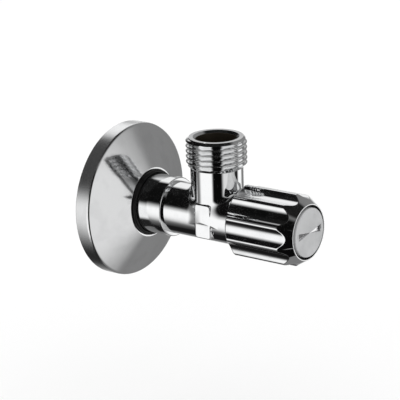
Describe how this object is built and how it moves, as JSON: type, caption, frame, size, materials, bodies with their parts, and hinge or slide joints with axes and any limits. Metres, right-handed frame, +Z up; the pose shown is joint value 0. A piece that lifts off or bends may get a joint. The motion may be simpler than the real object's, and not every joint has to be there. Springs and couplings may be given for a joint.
{
  "type": "angle stop valve",
  "caption": "Chrome angle stop valve: threaded inlet in the wall, upright threaded outlet, sliding wall rosette and a fluted knob that shuts the water off.",
  "frame": {"origin": "where the valve's axis crosses the wall, in the plane of the rosette's back rim", "axes": "-Y out of the wall along the valve's axis to the handle, +Y into the wall, +Z up along the outlet, +X to the right seen from the handle"},
  "size_m": [0.054, 0.0918, 0.0548],
  "materials": {
    "chrome_brass": "bright chrome plate on pressed brass",
    "rosette_chrome": "chrome plate on pressed brass sheet, faint haze",
    "chrome_plastic": "bright chrome plate on moulded plastic",
    "satin_cap": "satin silver",
    "black_rubber": "smooth moulded rubber",
    "turned_brass": "turned, unplated",
    "spring_steel": "plain stainless steel",
    "white_plastic": "plain acetal",
    "fibre": "vulcanised fibre"
  },
  "bodies": {
    "valve_body": {"valve_body": "chrome_brass", "bonnet": "turned_brass", "bonnet_gasket": "fibre"},
    "rosette": {"rosette": "rosette_chrome", "rosette_ring": "black_rubber"},
    "handle": {"spindle": "turned_brass", "spindle_o_ring_inner": "black_rubber", "spindle_o_ring_outer": "black_rubber", "slip_washer": "white_plastic", "spindle_clip": "spring_steel", "handle": "chrome_plastic", "handle_bush": "turned_brass", "handle_lock_washer": "spring_steel", "handle_screw": "spring_steel", "end_cap": "satin_cap"},
    "plunger": {"plunger": "turned_brass", "plunger_o_ring": "black_rubber", "seat_washer": "black_rubber", "washer_cup": "turned_brass", "washer_screw": "turned_brass"}
  },
  "joints": [
    {"name": "handle_turn", "type": "hinge", "parent": "valve_body", "child": "handle", "pos_m": [0, -0.06, 0], "axis": [0, -1, 0], "range_deg": [0, 900]},
    {"name": "plunger_slide", "type": "slide", "parent": "valve_body", "child": "plunger", "axis": [0, -1, 0], "range_m": [0, 0.00376]},
    {"name": "rosette_slide", "type": "slide", "parent": "valve_body", "child": "rosette", "axis": [0, -1, 0], "range_m": [0, 0.009]}
  ],
  "couplings": [
    {"joint": "plunger_slide", "follows": "handle_turn", "m_per_rad": 0.00023873}
  ]
}
